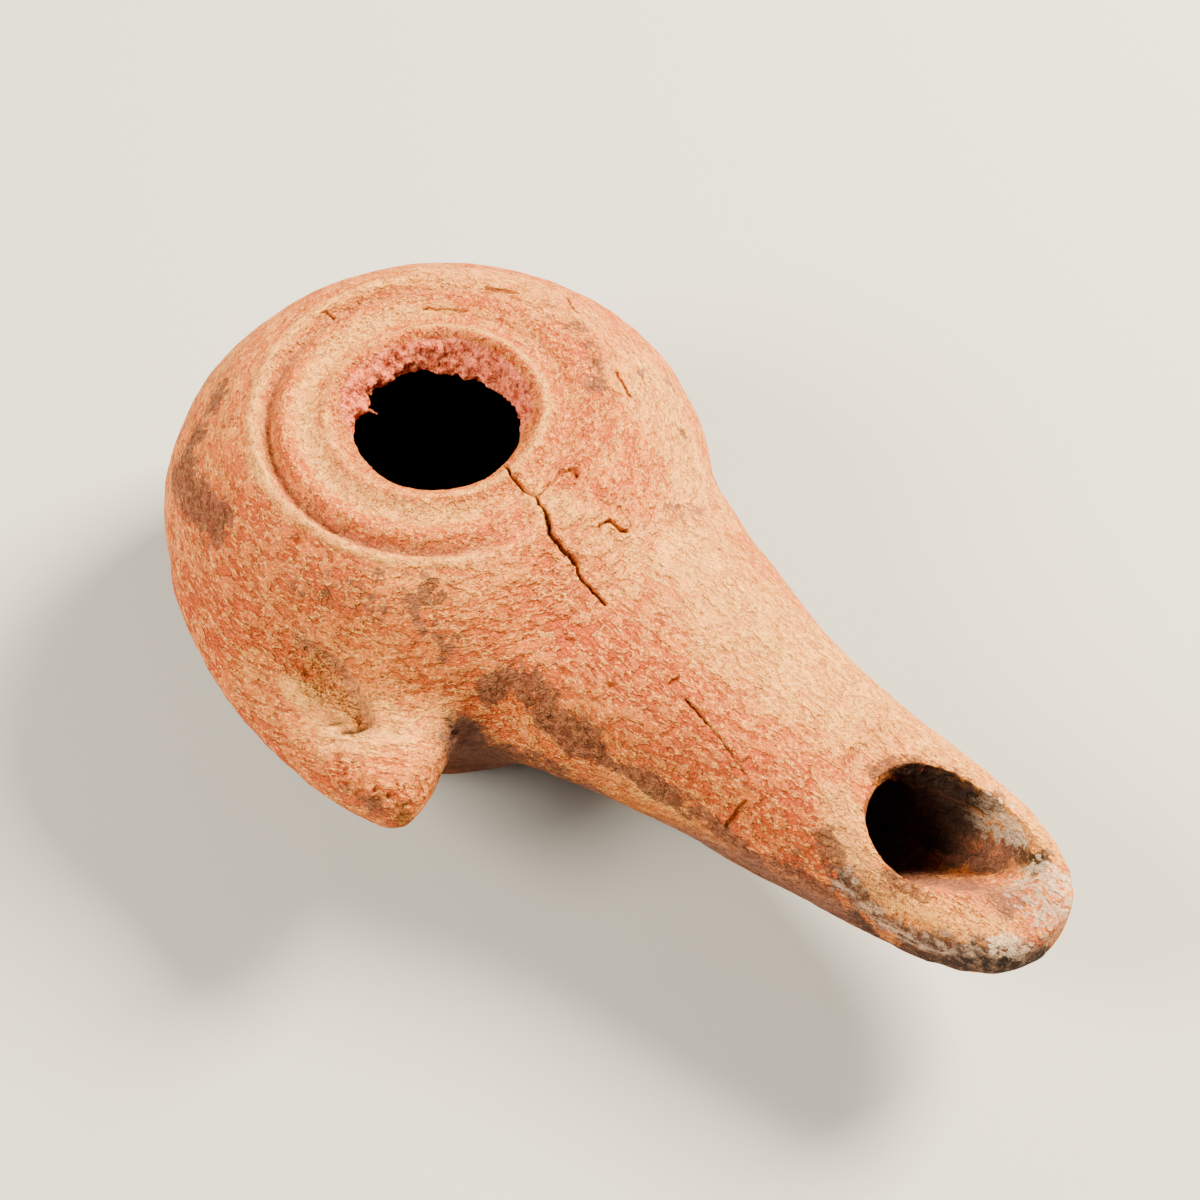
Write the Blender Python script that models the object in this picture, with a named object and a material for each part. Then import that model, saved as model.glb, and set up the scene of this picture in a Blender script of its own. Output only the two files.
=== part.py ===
"""Hand-made pottery oil lamp of fired clay, as one solid.

A turned round body with a ringed top and a broken filling hole, a long nozzle
with a wick hole, and a swept side lug with a thumb hollow.  The body and the
nozzle are hollow.  Metres, +Z up.  The origin is the centre of the foot's
underside, the nozzle points along +X and the lug stands out on the -Y side.
"""
import math

import bmesh
import bpy
from mathutils import Matrix, Vector

MM = 0.001

# Turned body
BODY_RADIUS = 32.2 * MM
GIRTH_HEIGHT = 19.8 * MM
LIP_RADIUS = 20.9 * MM
LIP_HEIGHT = 36.4 * MM
FOOT_RADIUS = 19.6 * MM
FOOT_HEIGHT = 1.2 * MM
BODY_WALL = 4.0 * MM
FLOOR_THICKNESS = 5.6 * MM

# Rings of the top, from the outside in
LIP_WIDTH = 1.2 * MM
GROOVE_WIDTH = 1.8 * MM
GROOVE_DEPTH = 0.9 * MM
RIDGE_WIDTH = 1.7 * MM
RIDGE_RISE = 0.4 * MM
HOLLOW_WIDTH = 3.4 * MM
HOLLOW_DEPTH = 0.6 * MM
COLLAR_WIDTH = 1.6 * MM
COLLAR_RISE = 0.8 * MM

# Filling hole, whose edge is broken
FUNNEL_DEPTH = 3.2 * MM
HOLE_RADIUS = 8.6 * MM
HOLE_BREAK = 0.45 * MM
DISCUS_THICKNESS = 2.2 * MM

# Nozzle
NOZZLE_REACH = 86.4 * MM
NOZZLE_WIDTH = 21.6 * MM
NOZZLE_FLARE_END = 71.0 * MM
NOZZLE_ROOT_TOP_DROP = 0.9 * MM
NOZZLE_ROOT_BOTTOM = 6.0 * MM
NOZZLE_TIP_TOP = 22.4 * MM
NOZZLE_TIP_BOTTOM = 14.2 * MM
NOZZLE_BOW = 1.0 * MM
NOZZLE_SWELL = 1.7 * MM
NOZZLE_WAIST = 0.8 * MM
NOZZLE_TIP_ROUND = 15.8 * MM

# Passage through the nozzle, and the wick hole at its end
PASSAGE_DIAMETER = 10.4 * MM
PASSAGE_ROOT_DIAMETER = 20.0 * MM
PASSAGE_FLARE_END = 54.0 * MM
PASSAGE_HEIGHT = 17.5 * MM
WICK_LENGTH = 21.4 * MM
WICK_WIDTH = 12.4 * MM
WICK_FRONT_WALL = 2.6 * MM
WICK_SHIFT = 1.4 * MM
WICK_SKEW = 2.4 * MM
WICK_FLOOR_LENGTH = 6.5 * MM
WICK_VALLEY = 2.0 * MM
WICK_SPREAD = 1.2 * MM
WICK_SPARE = 0.35 * MM

# Side lug and its thumb hollow
LUG_OVERHANG = 6.4 * MM
LUG_FRONT = 25.4 * MM
LUG_BACK = 18.0 * MM
LUG_THICKNESS = 8.6 * MM
LUG_HEIGHT = 20.8 * MM
LUG_EDGE_ROUND = 4.0 * MM
THUMB_LENGTH = 18.0 * MM
THUMB_WIDTH = 8.0 * MM
THUMB_DEPTH = 1.2 * MM

# Curves: plain ratios and powers
SHOULDER_CENTRE_SHARE = 0.13
BELLY_POWER = 2.15
CHAMBER_FLOOR_POWER = 2.3
CHAMBER_ROOF_POWER = 2.6
NOZZLE_START_SHARE = 0.45
NOZZLE_TOP_START_SHARE = 0.72
NOZZLE_MIDDLE_SHARE = 0.54
NOZZLE_SIDE_POWER = 2.25
NOZZLE_FLAT_TOP_POWER = 3.15
NOZZLE_UNDERSIDE_POWER = 2.4
NOZZLE_ROOT_SHARE = 0.83
NOZZLE_FLARE_POWER = 2.2
NOZZLE_SWELL_POWER = 1.3
NOZZLE_WAIST_POWER = 2.7
NOZZLE_TOP_POWER = 0.72
NOZZLE_BOTTOM_POWER = 3.3
TIP_LIFT_SHARE = 0.3
TIP_POWER_LEFT = 1.8
TIP_POWER_RIGHT = 3.1
PASSAGE_START_SHARE = 0.5
PASSAGE_FLARE_POWER = 1.3
WICK_MIDDLE_SHARE = 0.44
WICK_BACK_LEAN = 0.1
WICK_LEAN_SHARE = 0.8
THUMB_ROUND_SHARE = 0.8

# Mesh fineness
BODY_SEGMENTS = 64
CHAMBER_SEGMENTS = 40
NOZZLE_SEGMENTS = 32
PASSAGE_SEGMENTS = 20
LUG_SEGMENTS = 40
ARC_STEPS = 8

TERRACOTTA = (0.56, 0.24, 0.12, 1.0)


def clear_scene():
    for old in list(bpy.data.objects):
        bpy.data.objects.remove(old, do_unlink=True)


def clay_material():
    material = bpy.data.materials.new("fired_clay")
    material.use_nodes = True
    shader = material.node_tree.nodes["Principled BSDF"]
    shader.inputs["Base Color"].default_value = TERRACOTTA
    shader.inputs["Roughness"].default_value = 0.88
    shader.inputs["Metallic"].default_value = 0.0
    return material


def object_from(bm, name):
    bmesh.ops.remove_doubles(bm, verts=bm.verts, dist=0.001 * MM)
    bmesh.ops.recalc_face_normals(bm, faces=bm.faces)
    mesh = bpy.data.meshes.new(name)
    bm.to_mesh(mesh)
    bm.free()
    made = bpy.data.objects.new(name, mesh)
    bpy.context.scene.collection.objects.link(made)
    return made


def turned(name, profile, segments):
    """Spins a half profile of (radius, height) points, closed on the axis at both ends."""
    bm = bmesh.new()
    points = [bm.verts.new((radius, 0.0, height)) for radius, height in profile]
    wire = [bm.edges.new(pair) for pair in zip(points, points[1:])]
    bmesh.ops.spin(bm, geom=points + wire, cent=(0, 0, 0), axis=(0, 0, 1), angle=math.tau,
                   steps=segments, use_merge=True)
    return object_from(bm, name)


def lofted(name, sections):
    """Bridges closed sections of equally many points, and caps both ends."""
    bm = bmesh.new()
    loops = []
    for section in sections:
        ring = [bm.verts.new(point) for point in section]
        loops.append([bm.edges.new(pair) for pair in zip(ring, ring[1:] + ring[:1])])
    for near, far in zip(loops, loops[1:]):
        bmesh.ops.bridge_loops(bm, edges=near + far)
    for end in (loops[0], loops[-1]):
        bmesh.ops.contextual_create(bm, geom=end)
    return object_from(bm, name)


def arc(centre, size, start, end, steps, power=2.0):
    """Points of a (super)ellipse quarter or part of one, with angles in degrees from +radius."""
    points = []
    for step in range(steps + 1):
        angle = math.radians(start + (end - start) * step / steps)
        across = math.copysign(abs(math.cos(angle)) ** (2.0 / power), math.cos(angle))
        along = math.copysign(abs(math.sin(angle)) ** (2.0 / power), math.sin(angle))
        points.append((centre[0] + size[0] * across, centre[1] + size[1] * along))
    return points


def ring_radii():
    """Radii of the turned rings, each measured inwards from the one before."""
    groove = LIP_RADIUS - LIP_WIDTH - GROOVE_WIDTH / 2
    ridge = groove - GROOVE_WIDTH / 2 - RIDGE_WIDTH / 2
    hollow = ridge - RIDGE_WIDTH / 2 - HOLLOW_WIDTH / 2
    collar = hollow - HOLLOW_WIDTH / 2 - COLLAR_WIDTH / 2
    return groove, ridge, hollow, collar


def body_profile():
    """Outer half profile, from the middle of the foot to the middle of the funnel."""
    foot = [(0, 0), (FOOT_RADIUS - FOOT_HEIGHT / 3, 0), (FOOT_RADIUS, FOOT_HEIGHT / 3),
            (FOOT_RADIUS, FOOT_HEIGHT)]
    belly = arc((FOOT_RADIUS, GIRTH_HEIGHT), (BODY_RADIUS - FOOT_RADIUS, GIRTH_HEIGHT - FOOT_HEIGHT),
                -82, 0, ARC_STEPS, power=BELLY_POWER)
    shoulder_centre = SHOULDER_CENTRE_SHARE * BODY_RADIUS
    shoulder_size = BODY_RADIUS - shoulder_centre
    lip_share = (LIP_RADIUS - shoulder_centre) / shoulder_size
    shoulder_rise = (LIP_HEIGHT - GIRTH_HEIGHT) / math.sqrt(1 - lip_share ** 2)
    shoulder = arc((shoulder_centre, GIRTH_HEIGHT), (shoulder_size, shoulder_rise),
                   0, math.degrees(math.acos(lip_share)), ARC_STEPS)[1:]
    groove, ridge, hollow, collar = ring_radii()
    collar_top = LIP_HEIGHT + COLLAR_RISE
    funnel_floor = collar_top - FUNNEL_DEPTH
    rings = [
        (LIP_RADIUS - LIP_WIDTH / 2, LIP_HEIGHT + 0.15 * GROOVE_DEPTH),
        (LIP_RADIUS - LIP_WIDTH, LIP_HEIGHT - 0.1 * GROOVE_DEPTH),
        (groove, LIP_HEIGHT - GROOVE_DEPTH),
        (ridge + RIDGE_WIDTH / 2, LIP_HEIGHT),
        (ridge, LIP_HEIGHT + RIDGE_RISE),
        (ridge - RIDGE_WIDTH / 2, LIP_HEIGHT + 0.5 * RIDGE_RISE),
        (hollow + 0.22 * HOLLOW_WIDTH, LIP_HEIGHT - 0.8 * HOLLOW_DEPTH),
        (hollow - 0.1 * HOLLOW_WIDTH, LIP_HEIGHT - HOLLOW_DEPTH),
        (collar + COLLAR_WIDTH / 2, LIP_HEIGHT + 0.3 * COLLAR_RISE),
        (collar + 0.15 * COLLAR_WIDTH, collar_top),
        (collar - COLLAR_WIDTH / 3, collar_top - 0.06 * FUNNEL_DEPTH),
    ]
    mouth = HOLE_RADIUS + 0.4 * HOLE_BREAK
    inner_edge = collar - COLLAR_WIDTH / 3
    funnel = []
    for step in (1, 2, 3):
        share = step / 3
        funnel.append((inner_edge + (mouth - inner_edge) * share,
                       collar_top - (0.06 + 0.94 * share ** 0.85) * FUNNEL_DEPTH))
    return foot + belly + shoulder + rings + funnel + [(0, funnel_floor)]


def chamber_profile():
    """Inner half profile of the oil chamber, from the middle of its floor to its ceiling."""
    wide = BODY_RADIUS - BODY_WALL
    ceiling = LIP_HEIGHT + COLLAR_RISE - FUNNEL_DEPTH - DISCUS_THICKNESS
    floor_flat = FOOT_RADIUS - BODY_WALL
    roof_flat = HOLE_RADIUS - HOLE_BREAK
    lower = arc((floor_flat, GIRTH_HEIGHT), (wide - floor_flat, GIRTH_HEIGHT - FLOOR_THICKNESS),
                -90, 0, ARC_STEPS, power=CHAMBER_FLOOR_POWER)
    upper = arc((roof_flat, GIRTH_HEIGHT), (wide - roof_flat, ceiling - GIRTH_HEIGHT),
                0, 90, ARC_STEPS, power=CHAMBER_ROOF_POWER)[1:]
    return [(0, FLOOR_THICKNESS)] + lower + upper + [(0, ceiling)]


def filling_hole():
    """Cutter with an uneven outline, from inside the chamber to above the collar."""
    sections = []
    bottom = LIP_HEIGHT + COLLAR_RISE - FUNNEL_DEPTH - 2 * DISCUS_THICKNESS
    top = LIP_HEIGHT + 4 * COLLAR_RISE
    for level in range(5):
        share = level / 4
        ring = []
        for step in range(CHAMBER_SEGMENTS):
            angle = math.tau * (step + 0.5) / CHAMBER_SEGMENTS
            break_wave = (math.sin(2 * angle + 0.6) + 0.7 * math.sin(5 * angle + 2.1)
                          + 0.5 * math.sin(9 * angle + 4.0 + share))
            radius = HOLE_RADIUS + HOLE_BREAK * 0.6 * break_wave
            ring.append((radius * math.cos(angle), radius * math.sin(angle),
                         bottom + (top - bottom) * share))
        sections.append(ring)
    return lofted("filling_hole_cutter", sections)


def nozzle_start():
    return NOZZLE_START_SHARE * BODY_RADIUS


def tip_start():
    return NOZZLE_REACH - NOZZLE_TIP_ROUND


def nozzle_half_width(x, side):
    """Half the nozzle's width on the side whose sign is given: a long flare and a rounded tip."""
    root = NOZZLE_ROOT_SHARE * BODY_RADIUS
    narrow = NOZZLE_WIDTH / 2
    flare = min(max((NOZZLE_FLARE_END - x) / (NOZZLE_FLARE_END - nozzle_start()), 0.0), 1.0)
    half = narrow + (root - narrow) * flare ** NOZZLE_FLARE_POWER
    share = (x - nozzle_start()) / (NOZZLE_REACH - nozzle_start())
    if side < 0:
        half += NOZZLE_SWELL * math.sin(math.pi * share ** NOZZLE_SWELL_POWER) ** 2
    else:
        half -= NOZZLE_WAIST * math.sin(math.pi * share ** NOZZLE_WAIST_POWER) ** 2
    if x > tip_start():
        power = TIP_POWER_LEFT if side > 0 else TIP_POWER_RIGHT
        half *= max(1.0 - ((x - tip_start()) / NOZZLE_TIP_ROUND) ** power, 0.0) ** (1 / power)
    return half


def nozzle_top(x):
    start = NOZZLE_TOP_START_SHARE * LIP_RADIUS
    root_top = LIP_HEIGHT - NOZZLE_ROOT_TOP_DROP
    share = max((x - start) / (NOZZLE_REACH - start), 0.0)
    return root_top + (NOZZLE_TIP_TOP - root_top) * share ** NOZZLE_TOP_POWER


def nozzle_bottom(x):
    share = (x - nozzle_start()) / (NOZZLE_REACH - nozzle_start())
    height = NOZZLE_ROOT_BOTTOM + (NOZZLE_TIP_BOTTOM - NOZZLE_ROOT_BOTTOM) * share ** NOZZLE_BOTTOM_POWER
    if x > tip_start():
        lift = TIP_LIFT_SHARE * ((x - tip_start()) / NOZZLE_TIP_ROUND) ** 3
        height += (nozzle_top(x) - height) * lift
    return height


def nozzle():
    """Loft of superellipse sections that get flatter on top towards the wick hole."""
    start = nozzle_start()
    stations = [start + (tip_start() - start) * step / 12 for step in range(13)]
    stations += [tip_start() + NOZZLE_TIP_ROUND * math.sin(math.radians(angle))
                 for angle in (20, 38, 54, 68, 79, 87)]
    sections = []
    for x in stations:
        share = (x - start) / (NOZZLE_REACH - start)
        centre = -NOZZLE_BOW * share
        top = nozzle_top(x)
        bottom = nozzle_bottom(x)
        middle = bottom + NOZZLE_MIDDLE_SHARE * (top - bottom)
        flattening = min(max((share - 0.5) / 0.3, 0.0), 1.0)
        top_power = NOZZLE_SIDE_POWER + (NOZZLE_FLAT_TOP_POWER - NOZZLE_SIDE_POWER) * flattening
        ring = []
        for step in range(NOZZLE_SEGMENTS):
            angle = math.tau * step / NOZZLE_SEGMENTS
            power = 2.0 / (top_power if math.sin(angle) > 0 else NOZZLE_UNDERSIDE_POWER)
            across = math.copysign(abs(math.cos(angle)) ** power, math.cos(angle))
            upward = math.copysign(abs(math.sin(angle)) ** power, math.sin(angle))
            height = top - middle if upward > 0 else middle - bottom
            ring.append((x, centre + nozzle_half_width(x, across) * across, middle + height * upward))
        sections.append(ring)
    return lofted("nozzle_blank", sections)


def passage():
    """Cutter from the oil chamber to under the wick hole: a flared root and a rounded end."""
    radius = PASSAGE_DIAMETER / 2
    start = PASSAGE_START_SHARE * BODY_RADIUS
    end = wick_back() + 0.8 * WICK_FLOOR_LENGTH
    stations = []
    for step in range(9):
        x = start + (end - radius - start) * step / 8
        flare = max((PASSAGE_FLARE_END - x) / (PASSAGE_FLARE_END - start), 0.0) ** PASSAGE_FLARE_POWER
        stations.append((x, radius + (PASSAGE_ROOT_DIAMETER / 2 - radius) * flare))
    for angle in (30, 55, 75):
        stations.append((end - radius + radius * math.sin(math.radians(angle)),
                         radius * math.cos(math.radians(angle))))
    sections = []
    for x, reach in stations:
        ring = []
        for step in range(PASSAGE_SEGMENTS):
            angle = math.tau * (step + 0.5) / PASSAGE_SEGMENTS
            ring.append((x, -WICK_SHIFT * x / end + reach * math.cos(angle),
                         PASSAGE_HEIGHT + reach * math.sin(angle)))
        sections.append(ring)
    return lofted("passage_cutter", sections)


def wick_back():
    return NOZZLE_REACH - WICK_FRONT_WALL - WICK_LENGTH


def wick_hole():
    """Cutter like a spoon's bowl: steep behind and on the left, with a long slope up to the tip."""
    radius = PASSAGE_DIAMETER / 2 + WICK_SPARE
    floor = PASSAGE_HEIGHT - radius
    back = wick_back()
    front = NOZZLE_REACH - WICK_FRONT_WALL
    rim = nozzle_top(back + WICK_LENGTH / 2)
    levels = [(PASSAGE_HEIGHT - radius * math.cos(math.radians(angle)),
               radius * math.sin(math.radians(angle))) for angle in (12, 30, 48, 68, 90)]
    for share in (0.35, 0.7, 1.0, 1.4):
        levels.append((PASSAGE_HEIGHT + (rim - PASSAGE_HEIGHT) * share,
                       radius + (WICK_WIDTH / 2 - radius) * share))
    sections = []
    for height, half in levels:
        share = (height - floor) / (rim - floor)
        ahead = back + WICK_FLOOR_LENGTH + (front - back - WICK_FLOOR_LENGTH) * share
        behind = back + WICK_BACK_LEAN * WICK_LENGTH * (1 - share)
        middle = behind + WICK_MIDDLE_SHARE * (ahead - behind)
        ring = []
        for step in range(NOZZLE_SEGMENTS):
            angle = math.tau * (step + 0.5) / NOZZLE_SEGMENTS
            along = math.cos(angle)
            across = math.sin(angle)
            length = ahead - middle if along > 0 else middle - behind
            power = 0.98 if along > 0 else 0.8
            taper = 1.2 if along > 0 else 0.95
            ahead_share = max(along, 0.0)
            sideways = (half * math.copysign(abs(across) ** taper, across)
                        - WICK_SHIFT + WICK_SKEW * share * ahead_share)
            if across < 0:
                sideways -= WICK_SPREAD * share * abs(across)
                lean = WICK_LEAN_SHARE * max(1 - share, 0.0) * math.sqrt(ahead_share)
                sideways += (WICK_VALLEY - sideways) * lean
            ring.append((middle + length * math.copysign(abs(along) ** power, along),
                         sideways, height))
        sections.append(ring)
    return lofted("wick_cutter", sections)


def closed_curve(points, count):
    """Evenly stepped points of a smooth closed curve through the given plan points."""
    total = len(points)
    curve = []
    for step in range(count):
        place = step * total / count
        index = int(place)
        t = place - index
        a, b, c, d = (Vector(points[(index + shift) % total]) for shift in (-1, 0, 1, 2))
        curve.append(0.5 * (2 * b + (c - a) * t + (2 * a - 5 * b + 4 * c - d) * t ** 2
                            + (3 * b - a - 3 * c + d) * t ** 3))
    return curve


def lug():
    """Rounded slab, swept forward along the body's -Y side."""
    outline = [
        (-LUG_BACK, -0.80 * BODY_RADIUS),
        (-0.50 * LUG_BACK, -BODY_RADIUS - 0.08 * LUG_OVERHANG),
        (0.20 * LUG_FRONT, -BODY_RADIUS - 0.80 * LUG_OVERHANG),
        (0.55 * LUG_FRONT, -BODY_RADIUS - 0.90 * LUG_OVERHANG),
        (0.84 * LUG_FRONT, -BODY_RADIUS - 0.80 * LUG_OVERHANG),
        (LUG_FRONT, -BODY_RADIUS - 0.42 * LUG_OVERHANG),
        (0.96 * LUG_FRONT, -0.86 * BODY_RADIUS),
        (0.80 * LUG_FRONT, -0.62 * BODY_RADIUS),
        (0.0, -0.60 * BODY_RADIUS),
    ]
    plan = closed_curve(outline, LUG_SEGMENTS)
    middle = Vector((0.30 * LUG_FRONT, -0.86 * BODY_RADIUS))
    sections = []
    for angle in (-90, -62, -38, -14, 14, 38, 62, 90):
        inset = LUG_EDGE_ROUND * (1 - math.cos(math.radians(angle)))
        lift = LUG_THICKNESS / 2 * math.sin(math.radians(angle))
        ring = []
        for point in plan:
            inward = middle - point
            moved = point + inward * min(inset / inward.length, 0.9)
            ring.append((moved.x, moved.y, LUG_HEIGHT + lift))
        sections.append(ring)
    return lofted("lug_blank", sections)


def thumb_hollow():
    """Ellipsoid cutter that leaves the thumb hollow in the lug's upper side."""
    height = THUMB_ROUND_SHARE * THUMB_WIDTH
    bm = bmesh.new()
    place = (Matrix.Translation((0.36 * LUG_FRONT, -BODY_RADIUS + 0.12 * LUG_OVERHANG,
                                 LUG_HEIGHT + LUG_THICKNESS / 2 - THUMB_DEPTH + height / 2))
             @ Matrix.Rotation(math.radians(-9), 4, "Z")
             @ Matrix.Diagonal((THUMB_LENGTH / 2, THUMB_WIDTH / 2, height / 2, 1.0)))
    bmesh.ops.create_uvsphere(bm, u_segments=24, v_segments=12, radius=1.0, matrix=place)
    return object_from(bm, "thumb_cutter")


def combine(target, tools, operation):
    """Adds one EXACT Boolean for each tool, and keeps the tools as hidden guides."""
    for tool in tools:
        step = target.modifiers.new(tool.name, "BOOLEAN")
        step.operation = operation
        step.solver = "EXACT"
        step.object = tool
        tool.hide_render = True
        tool.display_type = "WIRE"
        tool.parent = target


def main():
    clear_scene()
    lamp = turned("oil_lamp", body_profile(), BODY_SEGMENTS)
    lamp.data.materials.append(clay_material())
    lamp.data.shade_smooth()
    lamp.data.set_sharp_from_angle(angle=math.radians(48))
    chamber = turned("chamber_cutter", chamber_profile(), CHAMBER_SEGMENTS)
    combine(lamp, [nozzle(), lug()], "UNION")
    combine(lamp, [chamber, filling_hole(), passage(), wick_hole(), thumb_hollow()], "DIFFERENCE")


main()
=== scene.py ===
"""Pottery oil lamp: its worn clay surface, clay material, soft light and the photograph's camera.

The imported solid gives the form.  A fine copy of it gets the soft joints, hand-made unevenness,
cracks, pits and broken edges of the real lamp, and masks that its material reads.
Lengths are millimetres until a mesh is written back; pixels are the photograph's own.
"""
import math

import bmesh
import bpy
import numpy as np
from mathutils import Matrix, Vector, kdtree, noise
from mathutils.bvhtree import BVHTree


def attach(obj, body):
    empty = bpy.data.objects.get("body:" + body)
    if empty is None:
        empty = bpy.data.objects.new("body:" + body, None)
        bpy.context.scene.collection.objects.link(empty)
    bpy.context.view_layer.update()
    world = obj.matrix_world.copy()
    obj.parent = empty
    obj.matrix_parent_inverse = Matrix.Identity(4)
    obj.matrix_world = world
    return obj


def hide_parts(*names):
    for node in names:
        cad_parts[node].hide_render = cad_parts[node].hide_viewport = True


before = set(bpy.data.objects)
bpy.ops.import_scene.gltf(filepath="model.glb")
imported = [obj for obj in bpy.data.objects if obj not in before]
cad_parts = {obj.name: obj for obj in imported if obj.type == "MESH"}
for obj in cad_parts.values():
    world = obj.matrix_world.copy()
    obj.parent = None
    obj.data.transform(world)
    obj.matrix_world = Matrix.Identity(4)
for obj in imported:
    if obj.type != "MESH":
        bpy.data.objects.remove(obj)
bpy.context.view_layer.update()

MM = 0.001

# Camera at the photograph's angle: degrees and millimetres
CAMERA_AZIMUTH = 37.97
CAMERA_ELEVATION = 55.01
CAMERA_ROLL = 0.89
CAMERA_DISTANCE = 300.1
CAMERA_AIM = (20.74, 3.53, 15.0)
CAMERA_LENS = 78.0
SENSOR_WIDTH = 36.0
PHOTO_SIDE = 1200

# Fineness of the clay mesh, and how far from a crack its faces are split finer
VOXEL = 0.36
MOST_TRIANGLES = 188000
CRACK_REACH = 0.9

# Length of a crack's steps and how far it wanders off its line, in pixels
CRACK_STEP = 4.0
CRACK_WANDER = 3.0

# Directions in plan: away from the camera, towards it, where the rings are crisp, and out of the lug
AWAY = (-0.61, 0.79)
NEAR = (0.62, -0.79)
CRISP_SIDE = (-0.6, -0.8)
LUG_OUTWARD = (-0.5, -1.0)

# Height above which a place belongs to the turned top
TOP_HEIGHT = 31

# Light: direction, distance in metres, side in metres, power in watts and colour
KEY_LIGHT = ((0.3, 1.0, 0.9), 0.7, 0.26, 34.5, (1.0, 0.88, 0.63))
FILL_LIGHT = ((-0.55, -0.9, 0.85), 0.9, 0.4, 22.0, (1.0, 0.90, 0.70))
SKY_COLOUR = (0.8, 0.85, 0.9, 1.0)
SKY_STRENGTH = 0.16
FLOOR_HALF_SIDE = 2.0
FLOOR_COLOUR = (0.45, 0.45, 0.45, 1.0)
FLOOR_ROUGHNESS = 0.9

# Rings of the top: radii from the outside in
RINGS_END = 22.5
LIP = 20.2
GROOVE = 18.75
RIDGE = 17.05
RIDGE_EDGE = 15.1
RIDGE_EDGE_SHIFT = (-0.40, 0.52)
COLLAR = 11.9

# Turned lines where the rings are crisp, and where they are worn: rise, radius and width
CRISP_LINES = [(-0.55, GROOVE + 0.15, 0.75), (0.42, LIP + 0.1, 0.6), (0.25, RIDGE, 0.8)]
CRISP_RIDGE_EDGE = (0.30, RIDGE_EDGE - 0.9, 1.2)
CRISP_COLLAR = (-0.25, COLLAR, 0.7)
WORN_COLLAR = (0.45, COLLAR + 0.1, 0.8)
WORN_LINES = [(0.75, GROOVE, 0.9), (-0.22, LIP, 0.7), (-0.30, RIDGE, 1.0), (-0.12, COLLAR + 1.8, 0.8)]

# Broken edge of the filling hole: its reach, what the far side adds, and height, size, seed and
# octaves of its lumps
FRACTURE_REACH = 9.6
FRACTURE_FAR_REACH = 1.4
FRACTURE_LUMPS = [(0.70, 1.5, 4, 3), (0.40, 0.8, 5, 1)]

# Loose bits of broken clay: photo pixel, height and radius
CRUMBS = [
    ((356, 398), 34.3, 1.1), ((364, 403), 34.4, 0.8), ((371, 408), 34.4, 0.65), ((378, 413), 34.2, 0.55),
    ((384, 419), 33.9, 0.42), ((352, 386), 34.4, 1.0), ((372, 376), 34.0, 0.9), ((392, 381), 33.6, 0.8),
    ((418, 370), 33.4, 0.8), ((440, 378), 33.2, 0.7), ((470, 374), 33.4, 0.9), ((488, 384), 33.2, 0.8),
    ((512, 396), 33.4, 0.9), ((519, 408), 33.4, 0.8), ((516, 420), 33.2, 0.8), ((521, 429), 33.3, 0.7),
    ((363, 420), 33.6, 0.6), ((362, 440), 33.5, 0.5), ((380, 462), 33.6, 0.5), ((500, 462), 33.6, 0.6),
]

# Creases between the body and what is joined to it: least angle in degrees, reach of the softening
# and its rounds
JOINT_ANGLE = 14
JOINT_REACH = 6.0
JOINT_ROUNDS = 110

# Unevenness of a hand-made pot: height and size of its lumps, and how far they stand back
LUMPS = [(0.30, 17, 1), (0.16, 7, 2)]
LUMPS_BACK = 0.12
SMALL_LUMPS = (0.08, 2.4, 3, 3)

# Plane scraped round the wick hole: height at its back edge, that edge's place, the fall per mm,
# how much the back edge slants, and how much of what stands above the plane is cut
SCRAPED_HEIGHT = 25.3
SCRAPED_BACK = 59.5
SCRAPED_FALL = 0.115
SCRAPED_SLANT = 0.35
SCRAPED_SHARE = 0.9

# Cracks: photo pixels along each, half width and depth
MAIN_CRACK = [(505, 466), (516, 480), (524, 490), (537, 496), (539, 504), (546, 516), (550, 533),
              (560, 545), (575, 563), (583, 580), (595, 592), (605, 604)]
CRACKS = [
    (MAIN_CRACK, 0.13, 1.3),
    (MAIN_CRACK[5:9], 0.22, 1.5),
    ([(537, 496), (548, 484), (560, 473), (571, 467), (576, 473), (575, 482)], 0.17, 1.0),
    ([(601, 525), (611, 521), (620, 530), (627, 531)], 0.15, 0.8),
    ([(616, 372), (622, 382), (630, 396)], 0.14, 0.6),
    ([(668, 683), (678, 678)], 0.12, 0.4),
    ([(686, 699), (700, 715), (711, 726)], 0.11, 0.5),
    ([(711, 726), (728, 748), (745, 774)], 0.08, 0.25),
    ([(745, 802), (738, 812), (727, 828)], 0.22, 0.6),
    ([(486, 287), (500, 291), (518, 292)], 0.16, 0.4),
    ([(568, 300), (577, 312)], 0.14, 0.4),
    ([(424, 310), (445, 309), (468, 311)], 0.08, 0.3),
    ([(508, 378), (530, 394)], 0.09, 0.3),
    ([(327, 312), (338, 322)], 0.09, 0.25),
]

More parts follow.
